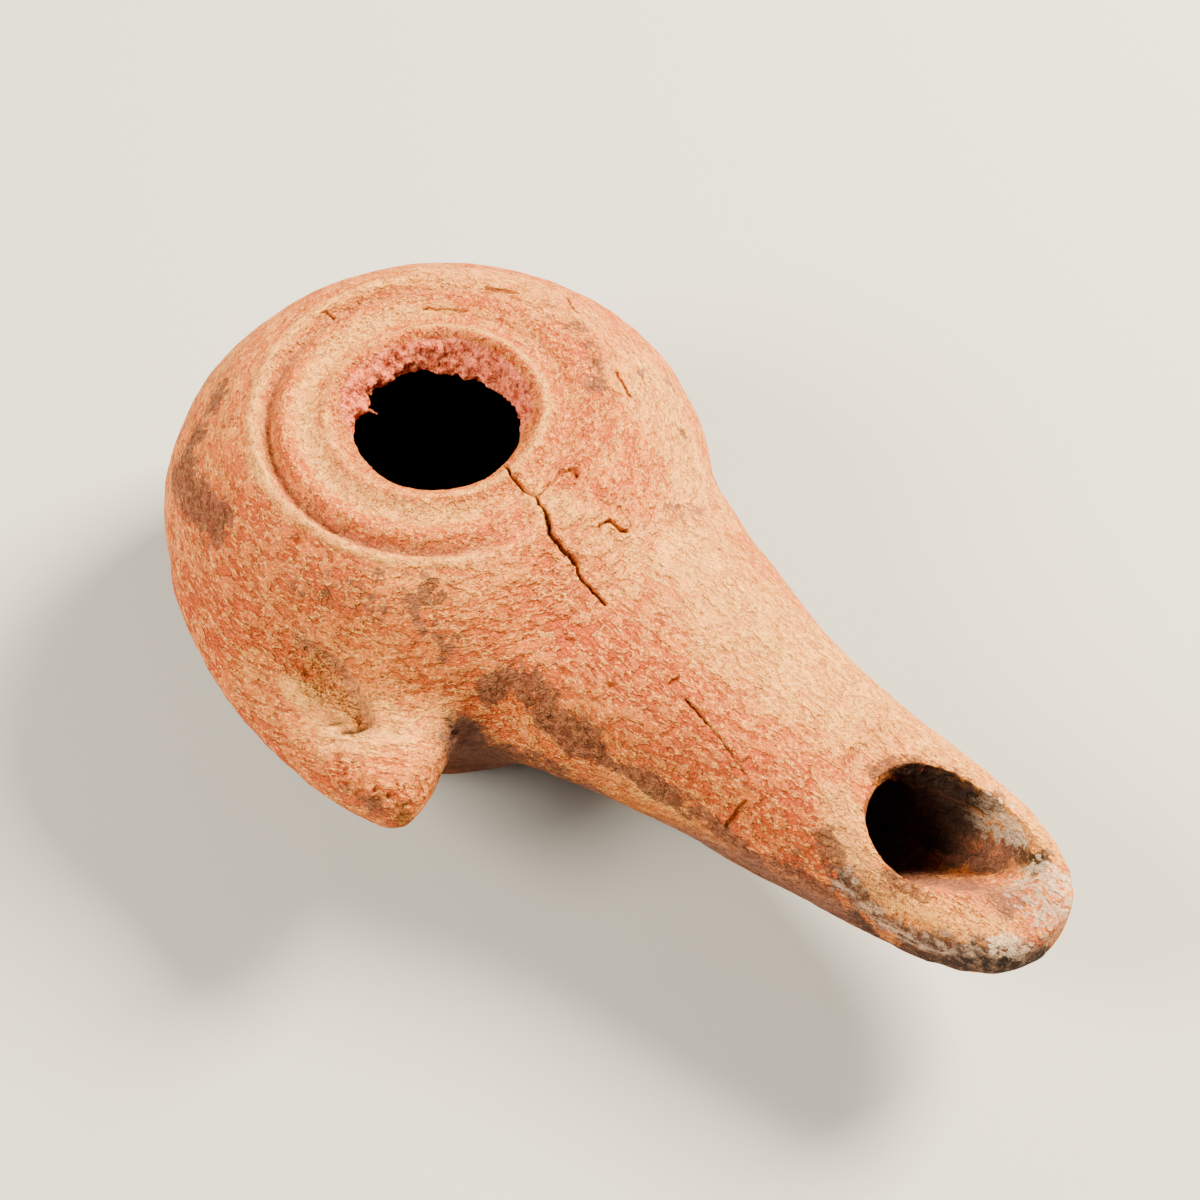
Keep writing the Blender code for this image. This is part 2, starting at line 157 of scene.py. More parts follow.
# Pits and chips: photo pixel, radius and depth
PITS = [
    ((296, 540), 0.55, 0.8), ((303, 531), 0.9, 0.3), ((605, 500), 1.1, 0.45), ((571, 643), 0.8, 0.3),
    ((603, 632), 0.8, 0.45), ((563, 672), 0.5, 0.4), ((610, 686), 0.5, 0.35), ((607, 655), 0.5, 0.2),
    ((308, 672), 0.45, 0.35), ((469, 266), 0.6, 0.35), ((520, 290), 0.7, 0.3), ((571, 760), 0.4, 0.5),
    ((345, 772), 0.45, 0.5), ((360, 783), 0.4, 0.5), ((374, 789), 0.5, 0.5), ((390, 797), 0.4, 0.4),
    ((352, 762), 0.4, 0.4), ((398, 783), 0.35, 0.4), ((305, 668), 0.35, 0.35), ((311, 676), 0.3, 0.3),
    ((1052, 846), 0.45, 0.35), ((455, 735), 0.7, 0.6), ((318, 414), 0.4, 0.3), ((575, 478), 0.8, 0.3),
]

# Rough edges: photo pixels along each, reach, roughness and rise
CRUST = [(846, 884), (858, 900), (880, 920), (920, 942), (980, 958), (1040, 955)]
ROUGH_EDGES = [
    (CRUST, 1.6, 0.24, 0.12),
    ([(335, 765), (355, 785), (380, 800), (405, 808)], 2.4, 0.60, -0.10),
    ([(895, 780), (920, 772), (950, 783), (982, 803), (1010, 832), (1034, 856)], 1.3, 0.50, 0.0),
    ([(600, 492), (612, 505)], 1.0, 0.30, -0.1),
]

# Thumb hollow: photo pixels along the top of its steep inner wall, its reach outwards and its depth
THUMB_WALL = [(289, 636), (312, 645), (336, 660), (354, 682), (367, 706), (373, 730)]
THUMB_MIDDLE = (9.0, -29.6, 26.0)
THUMB_REACH = 7.5
THUMB_DEPTH = 2.1
THUMB_SOFT_ROUNDS = 320
THUMB_LAST_ROUNDS = 3

# Marks on the surface, some of them painted highlight and painted shade: photo pixels along each, radius
# and strength
MARKS = {
    # Pale wear, and painted highlight where the light falls brightest: the nozzle's top and right side,
    # the right shoulder and the lug's top
    "pale_wear_and_highlight": [
        # Painted highlight on the nozzle's lit top and right side
        ([(700, 560), (750, 625), (800, 660), (860, 700)], 8.0, 0.85),
        # Painted highlight on the lit right shoulder
        ([(650, 380), (680, 440), (700, 500)], 6.0, 0.75),
        ([(610, 560), (680, 590)], 7.0, 0.45),
        ([(940, 740), (990, 790), (1035, 840)], 4.0, 0.8),
        ([(838, 800), (850, 850), (880, 890), (930, 920), (1000, 930)], 2.4, 0.8),
        ([(430, 268), (520, 280), (590, 320)], 3.0, 0.6),
        ([(185, 400), (215, 360), (260, 310)], 4.0, 0.35),
        # Painted highlight on the lug's top
        ([(330, 740), (390, 735), (430, 720)], 3.0, 0.55),
        ([(330, 690), (350, 712)], 2.6, 0.5),
        ([(640, 790), (690, 820)], 1.6, 0.6),
        ([(250, 670), (300, 735)], 2.0, 0.35),
        ([(500, 570), (420, 590), (360, 575)], 3.0, 0.3),
        ([(295, 690), (320, 715), (350, 735), (365, 742)], 1.8, 0.9),
        ([(360, 700), (385, 715), (400, 735)], 2.2, 0.8),
        ([(300, 640), (330, 660)], 1.5, 0.5),
        ([(540, 500), (590, 520), (640, 560)], 2.5, 0.6),
    ],
    # Redder clay, and painted shade on the sides turned from the light: the body's left, the lug's outer
    # face, the thumb hollow's wall, the notch between the lug and the nozzle, and the nozzle's underside
    "red": [
        # Painted shade on the body's left side
        ([(190, 570), (240, 640), (300, 760)], 9.0, 1.1),
        ([(230, 520), (330, 590)], 7.0, 0.8),
        ([(670, 670), (730, 690)], 4.0, 0.7),
        # Painted shade under the nozzle
        ([(740, 790), (820, 850)], 7.0, 1.0),
        ([(380, 800), (310, 790)], 5.0, 0.7),
        # Painted shade in the notch between the lug and the nozzle
        ([(480, 740), (600, 770)], 5.0, 0.6),
        ([(560, 470), (600, 440)], 2.4, 0.5),
        # Painted shade on the thumb hollow's wall
        ([(312, 650), (336, 665), (352, 686), (362, 708), (366, 728)], 1.3, 0.75),
        ([(890, 868), (950, 878), (1010, 888)], 2.6, 0.6),
        ([(452, 690), (480, 720), (520, 750)], 3.5, 0.7),
        ([(590, 620), (640, 680), (680, 750)], 8.0, 0.8),
    ],
    # Stains, and painted shade in the notch between the lug and the nozzle and under the nozzle
    "stain_and_shade": [
        ([(182, 470), (196, 500), (216, 522)], 2.6, 0.95),
        ([(222, 388), (205, 420), (190, 450)], 1.8, 0.6),
        ([(490, 690), (515, 676), (540, 690)], 2.0, 0.9),
        ([(540, 700), (556, 725), (590, 748)], 2.2, 0.95),
        ([(590, 750), (640, 780), (700, 818), (760, 860)], 1.8, 0.8),
        # Painted shade in the notch between the lug and the nozzle
        ([(460, 742), (500, 750), (540, 765), (590, 790)], 2.6, 0.9),
        ([(462, 758), (490, 764), (530, 772)], 4.5, 1.1),
        ([(905, 878), (960, 884), (1005, 892)], 2.8, 0.75),
        # Painted shade and stain under the nozzle
        ([(640, 815), (720, 868), (800, 915)], 3.4, 1.05),
        ([(380, 590), (430, 600), (440, 640)], 3.0, 0.35),
        # Painted shade and stain under the nozzle's tip
        ([(800, 880), (840, 915), (900, 950), (980, 968)], 3.4, 0.95),
        ([(1000, 968), (1050, 955), (1068, 925)], 2.0, 0.8),
        ([(880, 770), (940, 772), (1000, 800)], 1.4, 0.7),
        ([(660, 505), (700, 515)], 1.8, 0.35),
        ([(640, 370), (680, 430)], 1.0, 0.4),
        ([(548, 295), (585, 345), (597, 400)], 1.5, 0.5),
        ([(824, 838), (832, 860), (842, 885)], 1.5, 0.6),
        ([(310, 580), (350, 590), (370, 610)], 2.2, 0.45),
        ([(340, 790), (385, 808)], 1.5, 0.4),
        ([(900, 872), (960, 880), (1030, 900)], 2.6, 0.45),
    ],
    # Dirt, and painted shade along the thumb hollow's wall, in the wick hole, in the notch between the lug
    # and the nozzle and under the nozzle
    "dirt_and_shade": [
        # Painted shade along the thumb hollow's steep wall
        ([(300, 640), (318, 649), (338, 664), (353, 684), (365, 707), (371, 729)], 0.9, 0.75),
        ([(905, 876), (950, 886), (1005, 894)], 3.2, 0.75),
        # Painted shadow in the wick hole
        ([(925, 830), (960, 845), (1005, 858)], 2.0, 0.9),
        # Painted shade in the notch between the lug and the nozzle
        ([(454, 738), (480, 752), (530, 770), (580, 790)], 3.0, 0.9),
        # Painted shade under the nozzle
        ([(600, 794), (660, 822), (700, 839), (745, 860), (790, 885), (835, 908)], 2.2, 1.0),
        ([(1030, 885), (1050, 915), (1035, 945)], 2.2, 0.5),
        ([(835, 800), (850, 850), (880, 890)], 1.4, 0.3),
    ],
    # Soot round the wick, and painted shade in the notch between the lug and the nozzle and under the
    # nozzle and its tip
    "soot_and_shade": [
        ([(905, 775), (940, 782), (982, 806)], 1.5, 1.0),
        ([(880, 800), (900, 830)], 5.0, 0.9),
        ([(960, 820), (1000, 842), (1040, 862)], 1.7, 0.8),
        ([(930, 850), (980, 850), (1030, 862)], 1.3, 0.55),
        # Soot and painted shade under the tip
        ([(850, 916), (880, 940), (940, 964), (1020, 969), (1056, 948)], 1.9, 0.95),
        # Painted shade in the notch between the lug and the nozzle
        ([(458, 742), (490, 758), (540, 776), (575, 788)], 3.2, 0.85),
        # Painted shade under the nozzle
        ([(690, 838), (735, 858), (790, 888), (845, 918)], 1.8, 0.8),
        ([(925, 842), (960, 858), (1000, 866)], 1.6, 0.75),
        ([(925, 795), (965, 815)], 2.0, 0.6),
    ],
    "ash": [
        ([(985, 804), (1003, 819), (1018, 837)], 1.5, 0.95),
        ([(975, 818), (995, 832)], 1.3, 0.9),
        ([(1035, 868), (1050, 875), (1058, 890)], 1.3, 0.85),
        ([(1020, 885), (1045, 905), (1055, 925)], 2.2, 0.6),
        ([(1000, 945), (1018, 950)], 1.2, 0.9),
        ([(1064, 880), (1068, 915)], 1.2, 0.7),
    ],
}

# Colours of the clay, and pairs of colours that a noise mixes
CLAY = ((0.66, 0.118, 0.011), (0.74, 0.182, 0.020))
WARM_CLAY = (0.82, 0.238, 0.032)
# Red clay, also used as painted shade
RED_CLAY_AND_SHADE = (0.50, 0.066, 0.008)
# Pale wear, also used as painted highlight
PALE_WEAR_AND_HIGHLIGHT = (0.98, 0.44, 0.09)
LIGHT_PATCH = (0.94, 0.31, 0.055)
DARK_PATCH = (0.50, 0.075, 0.017)
LIGHT_STREAK = (1.0, 0.41, 0.075)
DARK_STREAK = (0.40, 0.06, 0.016)
LIGHT_LINE = (1.0, 0.59, 0.17)
DARK_LINE = (0.20, 0.03, 0.01)
LIGHT_FLECK = (1.0, 0.48, 0.105)
DARK_FLECK = (0.24, 0.035, 0.012)
TORN_CLAY = ((0.42, 0.045, 0.016), (0.98, 0.24, 0.12))
# Stain, also used as painted shade
STAIN_AND_SHADE = ((0.075, 0.024, 0.014), (0.26, 0.09, 0.045))
GREY_CRUST = ((0.05, 0.032, 0.025), (0.50, 0.32, 0.22))
# Soot, also used as painted shade
SOOT_AND_SHADE = ((0.02, 0.013, 0.010), (0.17, 0.085, 0.05))
ASH = (0.72, 0.55, 0.38)
# Painted shade, darker towards the bottom
PAINTED_LOW_SHADE = (0.12, 0.030, 0.013)
# Dirt, also used as painted shade
DIRT_AND_SHADE = (0.26, 0.10, 0.06)
CRACK_DARK = (0.03, 0.01, 0.006)
PORE = (0.25, 0.045, 0.015)
# Painted shade inside the oil chamber and the passage
PAINTED_INSIDE_SHADE = (0.02, 0.008, 0.005)

# Tints by noise: its name, the range of its value, the shares at the ends of that range, the colour
TINTS = [
    ("patches", (0.52, 0.68), (0.0, 0.3), LIGHT_PATCH),
    ("patches", (0.32, 0.46), (0.35, 0.0), DARK_PATCH),
    ("streak", (0.5, 0.62), (0.0, 0.2), LIGHT_STREAK),
    ("streak", (0.36, 0.48), (0.3, 0.0), DARK_STREAK),
]
# Thin lines along a level of the streaks: level, width, strength and colour
LINES = [
    (0.53, 0.018, 0.85, LIGHT_LINE),
    (0.46, 0.016, 0.8, DARK_LINE),
]
FLECKS = [
    ("small_streak", (0.55, 0.68), (0.0, 0.6), LIGHT_FLECK),
    ("small_streak", (0.32, 0.44), (0.65, 0.0), DARK_FLECK),
]
# Coats: mask, softness of its edge, strength, raggedness, then the noise, range and pair of colours
COATS = [
    ("broken", 0.15, 0.9, 2.6, "fine", (0.36, 0.56), TORN_CLAY),
    ("stain_and_shade", 0.2, 0.85, 7.0, "fine", (0.42, 0.62), STAIN_AND_SHADE),
    ("crust", 0.2, 0.85, 2.6, "flaky", (0.42, 0.6), GREY_CRUST),
    ("soot_and_shade", 0.2, 0.92, 4.0, "fine", (0.5, 0.62), SOOT_AND_SHADE),
]
# Even darkening: mask, strength and colour; painted shade low down, dirt with painted shade, and cracks
VEILS = [
    ("low", 0.8, PAINTED_LOW_SHADE),
    ("dirt_and_shade", 0.7, DIRT_AND_SHADE),
    ("crack", 0.95, CRACK_DARK),
]
# Relief too fine for the mesh: noise, the range that is flattened to a step or None, and depth
RELIEF = [
    ("grain", None, 0.2),
    ("small_streak", (0.42, 0.58), 0.16),
    ("fine", None, 0.35),
    ("streak", (0.42, 0.58), 0.42),
    ("patches", None, 0.9),
]


class PhotoView:
    """The photograph's camera, which turns pixels into places on the lamp."""

    def __init__(self):
        azimuth = math.radians(CAMERA_AZIMUTH)
        elevation = math.radians(CAMERA_ELEVATION)
        roll = math.radians(CAMERA_ROLL)
        self.back = Vector((math.sin(azimuth) * math.cos(elevation),
                            -math.cos(azimuth) * math.cos(elevation), math.sin(elevation)))
        level = Vector((math.cos(azimuth), math.sin(azimuth), 0.0))
        rise = self.back.cross(level)
        self.right = level * math.cos(roll) + rise * math.sin(roll)
        self.up = rise * math.cos(roll) - level * math.sin(roll)
        self.place = Vector(CAMERA_AIM) + self.back * CAMERA_DISTANCE
        self.focal = CAMERA_LENS / SENSOR_WIDTH * PHOTO_SIDE

    def ray_through(self, pixel):
        """A pixel's line of sight."""
        across = (pixel[0] - PHOTO_SIDE / 2) / self.focal
        upward = (PHOTO_SIDE / 2 - pixel[1]) / self.focal
        return self.right * across + self.up * upward - self.back

    def place_on(self, tree, pixel):
        """Where the lamp's surface shows at a pixel."""
        ray = self.ray_through(pixel)
        hit = tree.ray_cast(self.place * MM, ray)[0]
        if hit is None:
            hit = tree.find_nearest((self.place + ray * CAMERA_DISTANCE) * MM)[0]
        return np.array(hit) / MM

    def place_at(self, pixel, height):
        """Where a pixel's line of sight passes a height above the foot."""
        ray = self.ray_through(pixel)
        return self.place + ray * ((height - self.place.z) / ray.z)

    def chain_on(self, tree, pixels, step=9.0, wander=0.0):
        """Places on the lamp along a line of pixels, close together and, for a crack, unsteady."""
        chain = []
        for start, end in zip(pixels, pixels[1:] or pixels):
            start = Vector(start)
            end = Vector(end)
            count = max(int((end - start).length / step), 1)
            for index in range(count):
                pixel = start.lerp(end, index / count)
                shift = noise.noise_vector(Vector((pixel.x, pixel.y, 0.0)) / 9) * wander
                chain.append(self.place_on(tree, pixel + shift.xy))
        chain.append(self.place_on(tree, pixels[-1]))
        return chain

    def add_camera(self):
        data = bpy.data.cameras.new("photo_camera")
        data.lens = CAMERA_LENS
        data.sensor_width = SENSOR_WIDTH
        data.clip_start = 0.01
        camera = bpy.data.objects.new("photo_camera", data)
        bpy.context.scene.collection.objects.link(camera)
        for column, axis in enumerate((self.right, self.up, self.back, self.place * MM)):
            for row in range(3):
                camera.matrix_world[row][column] = axis[row]
        bpy.context.scene.camera = camera


def read_places(mesh):
    """A mesh's places, in millimetres."""
    flat = np.empty(len(mesh.vertices) * 3, np.float32)
    mesh.vertices.foreach_get("co", flat)
    return flat.reshape(-1, 3).astype(float) / MM


def read_directions(mesh):
    """Which way the surface faces at each of a mesh's places."""
    flat = np.empty(len(mesh.vertices) * 3, np.float32)
    mesh.vertex_normals.foreach_get("vector", flat)
    return flat.reshape(-1, 3)


class Clay:
    """The fine mesh as arrays, with the tools that shape it."""

    def __init__(self, mesh):
        self.mesh = mesh
        self.read()

    def read(self):
        self.places = read_places(self.mesh)
        pairs = np.empty(len(self.mesh.edges) * 2, np.int32)
        self.mesh.edges.foreach_get("vertices", pairs)
        self.edges = pairs.reshape(-1, 2)
        self.read_normals()

    def write(self):
        self.mesh.vertices.foreach_set("co", (self.places * MM).astype(np.float32).ravel())
        self.mesh.update()

    def read_normals(self):
        self.write()
        self.normals = read_directions(self.mesh).astype(float)

    def smooth(self, weight, rounds):
        """Moves each place towards the mean of its neighbours, as far as its weight says."""
        count = len(self.places)
        near, far = self.edges.T
        degree = np.bincount(near, minlength=count) + np.bincount(far, minlength=count)
        moving = np.nonzero(weight > 0.004)[0]
        marked = np.zeros(count, bool)
        marked[moving] = True
        used = marked[near] | marked[far]
        near, far = near[used], far[used]
        share = (weight[moving] / degree[moving])[:, None]
        for _ in range(rounds):
            total = np.empty((count, 3))
            for axis in range(3):
                column = self.places[:, axis]
                total[:, axis] = (np.bincount(near, column[far], count)
                                  + np.bincount(far, column[near], count))
            self.places[moving] += share * (total[moving] - degree[moving, None] * self.places[moving])
        self.read_normals()

    def push(self, height):
        """Moves the surface out along its normals, or in where the height is negative."""
        self.places += self.normals * height[:, None]

    def refine(self, close):
        """Splits the faces round the marked places into smaller ones."""
        bm = bmesh.new()
        bm.from_mesh(self.mesh)
        bm.verts.ensure_lookup_table()
        edges = [edge for edge in bm.edges if close[edge.verts[0].index] and close[edge.verts[1].index]]
        bmesh.ops.subdivide_edges(bm, edges=edges, cuts=1, use_grid_fill=True)
        bmesh.ops.triangulate(bm, faces=[face for face in bm.faces if len(face.verts) > 4])
        bm.to_mesh(self.mesh)
        bm.free()
        self.read()


def ease(value):
    """0 to 1 with soft ends."""
    value = np.clip(value, 0.0, 1.0)
    return value * value * (3 - 2 * value)


def rough(places, size, seed, octaves=1):
    """Noise of about -1 to 1, whose lumps are of the given size."""
    moved = places / size + np.array((seed * 7.31, seed * 3.17, seed * 5.77))
    if octaves == 1:
        return np.array([noise.noise(place) for place in moved.tolist()])
    return np.array([noise.fractal(place, 0.9, 2.1, octaves) for place in moved.tolist()])


def distance_to(places, chain, reach):
    """Distance of each place to a chain of points, where that is less than about the reach."""
    chain = np.array(chain)
    near = ((places > chain.min(0) - reach) & (places < chain.max(0) + reach)).all(1)
    found = places[near]
    nearest = np.full(len(found), 1e6)
    for start, end in zip(chain[:-1], chain[1:]):
        along = end - start
        share = np.clip((found - start) @ along / max(along @ along, 1e-9), 0, 1)
        nearest = np.minimum(nearest, np.linalg.norm(found - start - share[:, None] * along, axis=1))
    distance = np.full(len(places), 1e6)
    distance[near] = nearest
    return distance


def fine_copy(node, photo):
    """A copy of the solid with its loose bits of clay, in small even faces."""
    bm = bmesh.new()
    bm.from_mesh(node.data)
    for pixel, height, radius in CRUMBS:
        place = Matrix.Translation(photo.place_at(pixel, height) * MM)
        bmesh.ops.create_icosphere(bm, subdivisions=2, radius=radius * MM, matrix=place)
    mesh = bpy.data.meshes.new("lamp_clay")
    bm.to_mesh(mesh)
    bm.free()
    made = bpy.data.objects.new("lamp_clay", mesh)
    bpy.context.scene.collection.objects.link(made)
    remesh = made.modifiers.new("remesh", "REMESH")
    remesh.mode = "VOXEL"
    remesh.voxel_size = VOXEL * MM
    view = bpy.context.evaluated_depsgraph_get()
    fine = bpy.data.meshes.new_from_object(made.evaluated_get(view))
    made.modifiers.clear()
    made.data = fine
    return made


def surface_tree(lamp):
    """Finds places on the lamp's surface as its mesh is now."""
    bm = bmesh.new()
    bm.from_mesh(lamp.data)
    tree = BVHTree.FromBMesh(bm)
    bm.free()
    return tree


def joint_weights(node, places):
    """How near each place is to a hollow crease where the nozzle and the lug meet the body."""
    bm = bmesh.new()
    bm.from_mesh(node.data)
    bmesh.ops.remove_doubles(bm, verts=bm.verts, dist=0.001 * MM)
    points = []
    for edge in bm.edges:
        if len(edge.link_faces) != 2 or edge.calc_face_angle_signed() > -math.radians(JOINT_ANGLE):
            continue
        start, end = (vert.co / MM for vert in edge.verts)
        middle = (start + end) / 2
        on_rings = middle.z > 33 and middle.xy.length < 22
        if on_rings or middle.z < 2 or middle.x > 58:
            continue
        steps = int((end - start).length) + 1
        points += [start.lerp(end, step / steps) for step in range(steps + 1)]
    bm.free()
    tree = kdtree.KDTree(len(points))
    for index, point in enumerate(points):
        tree.insert(point, index)
    tree.balance()
    gap = np.array([tree.find(place)[2] for place in places])
    return ease(1.15 - gap / JOINT_REACH)


def bell(value, centre, width):
    return np.exp(-((value - centre) / width) ** 2)


def facing_share(x, y, direction):
    """-1 to 1: how far a place lies on the side of the body's axis that a direction points to."""
    return (direction[0] * x + direction[1] * y) / np.maximum(np.hypot(x, y), 0.1)


def crispness(x, y):
    """1 where the rings are crisp, on the left and the near side, down to 0.2 where they are worn."""
    return 0.2 + 0.8 * ease((facing_share(x, y, CRISP_SIDE) + 0.45) / 0.8)


def far_share(x, y):
    """1 on the side of the body that is away from the camera, 0 on the near side."""
    return ease((facing_share(x, y, AWAY) + 0.35) / 0.6)


def top_share(z):
    """1 on the turned top, 0 below it."""
    return ease((z - TOP_HEIGHT) / 2)


def ridge_edge_radius(x, y):
    """Distance from the middle of the ridge's inner edge, which was turned off the axis."""
    return np.hypot(x - RIDGE_EDGE_SHIFT[0], y - RIDGE_EDGE_SHIFT[1])


def turned_line(radius, line):
    rise, middle, width = line
    return rise * bell(radius, middle, width)


def shape_rings(clay):
    """Sharpens the turned rings where they are crisp, and fills them where they are worn."""
    x, y, z = clay.places.T
    radius = np.hypot(x, y) + 0.25 * rough(clay.places, 14, 21)
    on_top = top_share(z) * ease((RINGS_END - radius) / 1.0)
    kept = crispness(x, y)
    crisp = sum(turned_line(radius, line) for line in CRISP_LINES)
    crisp += turned_line(ridge_edge_radius(x, y), CRISP_RIDGE_EDGE)
    crisp += turned_line(radius, CRISP_COLLAR)
    rise, middle, width = WORN_COLLAR
    crisp += rise * (1 - kept) * bell(radius, middle, width)
    filled = sum(turned_line(radius, line) for line in WORN_LINES)
    worn = 0.8 + 0.5 * rough(clay.places, 9, 22)
    height = crisp * kept * worn + filled * (1 - kept)
    clay.places[:, 2] += height * on_top


def shape_fracture(clay):
    """Crumbly broken clay round the filling hole, roughest on the far side."""
    x, y, z = clay.places.T
    radius = np.hypot(x, y)
    far_side = far_share(x, y)
    reach = FRACTURE_REACH + FRACTURE_FAR_REACH * far_side
    broken = ease((reach - radius) / 0.9) * ease((z - 28) / 2) * (0.35 + 0.65 * far_side)
    lumps = sum(height * rough(clay.places, size, seed, octaves)
                for height, size, seed, octaves in FRACTURE_LUMPS)
    clay.push(broken * lumps)


def shape_thumb_hollow(clay, chain):
    """A pressed hollow with a steep inner wall and a gentle rise to the outer rim."""
    line = np.array(chain)
    offset = clay.places[:, None, :2] - line[None, :, :2]
    nearest = np.argmin((offset ** 2).sum(2), axis=1)
    along = nearest / (len(line) - 1)
    flow = np.gradient(line[:, :2], axis=0)
    outward = np.stack([flow[:, 1], -flow[:, 0]], 1)
    outward /= np.linalg.norm(outward, axis=1)[:, None]
    outward *= np.sign(outward @ np.array(LUG_OUTWARD))[:, None]
    picked = offset[np.arange(len(offset)), nearest]
    side = (picked * outward[nearest]).sum(1)
    ends = ease(along / 0.45) * ease((1 - along) / 0.08)
    reach = THUMB_REACH * (0.45 + 0.55 * np.sin(math.pi * np.clip(along, 0.05, 0.95)))
    depth = THUMB_DEPTH * ease((side + 0.1) / 0.7) * ease((reach - side) / (0.95 * reach)) * ends
    depth *= ease((clay.places[:, 2] - 17) / 3) * (np.linalg.norm(picked, axis=1) < THUMB_REACH)
    clay.push(-depth)


def scrape_wick_rim(clay):
    """Cuts the nozzle's top down to the plane round the wick hole."""
    x, y, z = clay.places.T
    back = SCRAPED_BACK + SCRAPED_SLANT * np.maximum(-y - 2, 0) + 0.5 * rough(clay.places, 6, 31)
    plane = SCRAPED_HEIGHT - SCRAPED_FALL * (x - SCRAPED_BACK) + 0.12 * rough(clay.places, 3, 32)
    plane += 0.55 * np.maximum(back - x, 0) ** 1.6
    cut = np.where(x > SCRAPED_BACK - 6, np.maximum(z - plane, 0) * SCRAPED_SHARE, 0)
    clay.places[:, 2] -= cut


def shape_form(clay, node, lamp, photo):
    """Softens the joints, turns the rings, and presses and scrapes the clay."""
    clay.smooth(np.full(len(clay.places), 0.6), 2)
    clay.smooth(0.85 * joint_weights(node, clay.places), JOINT_ROUNDS)
    thumb = photo.chain_on(surface_tree(lamp), THUMB_WALL)
    gap = np.linalg.norm(clay.places - THUMB_MIDDLE, axis=1)
    clay.smooth(0.95 * ease(1.6 - gap / 7.5), THUMB_SOFT_ROUNDS)
    shape_rings(clay)
    shape_thumb_hollow(clay, thumb)
    clay.smooth(0.7 * ease(1.5 - gap / 7.0), THUMB_LAST_ROUNDS)
    scrape_wick_rim(clay)
    clay.read_normals()


def add_lumps(clay):
    """Makes the surface a little uneven, but for the foot it stands on and the turned top."""
    z = clay.places[:, 2]
    standing = ease((z - 0.4) / 4)
    lumps = sum(height * rough(clay.places, size, seed) for height, size, seed in LUMPS)
    calm = 1 - 0.6 * ease((z - 33) / 2)
    clay.push((lumps - LUMPS_BACK) * standing * calm)
    height, size, seed, octaves = SMALL_LUMPS
    clay.push(height * rough(clay.places, size, seed, octaves) * standing)
    clay.read_normals()


def refine_near(clay, chains):
    """Makes the mesh fine enough for the cracks, in two steps."""
    for reach in (CRACK_REACH, CRACK_REACH * 0.7):
        close = np.zeros(len(clay.places), bool)
        for chain in chains:
            close |= distance_to(clay.places, chain, reach) < reach
        clay.refine(close)


def sculpt(clay, node, lamp, photo):
    """Shapes the fine mesh into hand-made, worn clay, and gives the places along each crack."""
    shape_form(clay, node, lamp, photo)
    add_lumps(clay)
    tree = surface_tree(lamp)
    chains = [photo.chain_on(tree, pixels, CRACK_STEP, CRACK_WANDER) for pixels, _, _ in CRACKS]
    refine_near(clay, chains)
    uneven = rough(clay.places, 1.2, 6, 2)
    for pixels, reach, roughness, rise in ROUGH_EDGES:
        near = bell(distance_to(clay.places, photo.chain_on(tree, pixels), 3 * reach), 0.0, reach)
        clay.push(near * (roughness * uneven + rise))
    shape_fracture(clay)
    clay.read_normals()
    for pixel, reach, depth in PITS:
        gap = np.linalg.norm(clay.places - photo.place_on(tree, pixel), axis=1)
        clay.push(-depth * ease(1.2 - gap / reach))
    for (_, half, depth), chain in zip(CRACKS, chains):
        gap = distance_to(clay.places, chain, 3 * half)
        clay.push(-depth * ease(1.3 - gap / (1.5 * half)))
    clay.read_normals()
    return chains


def inside_share(lamp, places):
    """1 on the walls of the oil chamber and the passage, where the surface faces their middle; shade is
    painted there.
    """
    x = places[:, 0]
    middle = np.stack([x * np.clip((x - 10) / 20, 0, 1), -0.02 * x, np.full(len(x), 17.5)], 1)
    offset = places - middle
    facing = (offset * read_directions(lamp.data)).sum(1) / np.linalg.norm(offset, axis=1)
    below_top = ease((32.5 - places[:, 2]) / 2.5)
    end = np.where(places[:, 1] > 1.5, 76.5, 71.0)
    return ease(0.35 - 2 * facing) * below_top * ease((end - x) / 7)


def stroke_masks(places, tree, photo):
    """Masks of the marks that are placed by their pixels in the photograph."""
    masks = {}
    for name, strokes in MARKS.items():
        value = np.zeros(len(places))
        for pixels, reach, strength in strokes:
            gap = distance_to(places, photo.chain_on(tree, pixels), 2 * reach)
            value = np.maximum(value, strength * ease(1.2 - 0.75 * gap / reach))
        masks[name] = value
    return masks


def mark_rings(masks, places):
    """Pale wear and painted highlight on the rings' edges, red clay on the ridge, and dirt and painted
    shade in the groove.
    """
    x, y, z = places.T
    radius = np.hypot(x, y)
    on_top = top_share(z)
    kept = crispness(x, y)
    far_side = far_share(x, y)
    # Pale wear and painted highlight on the crests
    crest = np.maximum.reduce([1.15 * kept * bell(radius, LIP + 0.15, 0.75),
                               1.6 * kept * bell(ridge_edge_radius(x, y), RIDGE_EDGE - 0.5, 1.1),
                               (1.2 - 0.7 * kept) * bell(radius, COLLAR + 0.7 * far_side, 0.6)])
    masks["pale_wear_and_highlight"] = np.maximum(masks["pale_wear_and_highlight"], crest * on_top)
    masks["red"] = np.maximum(masks["red"], (0.85 - 0.35 * kept) * bell(radius, RIDGE + 0.2, 0.9) * on_top)
    # Dirt and painted shade in the grooves
    groove = np.maximum(0.75 * bell(radius, GROOVE - 0.1, 0.6), 0.3 * bell(radius, COLLAR + 0.9, 0.35))
    masks["dirt_and_shade"] = np.maximum(masks["dirt_and_shade"], groove * on_top * kept)


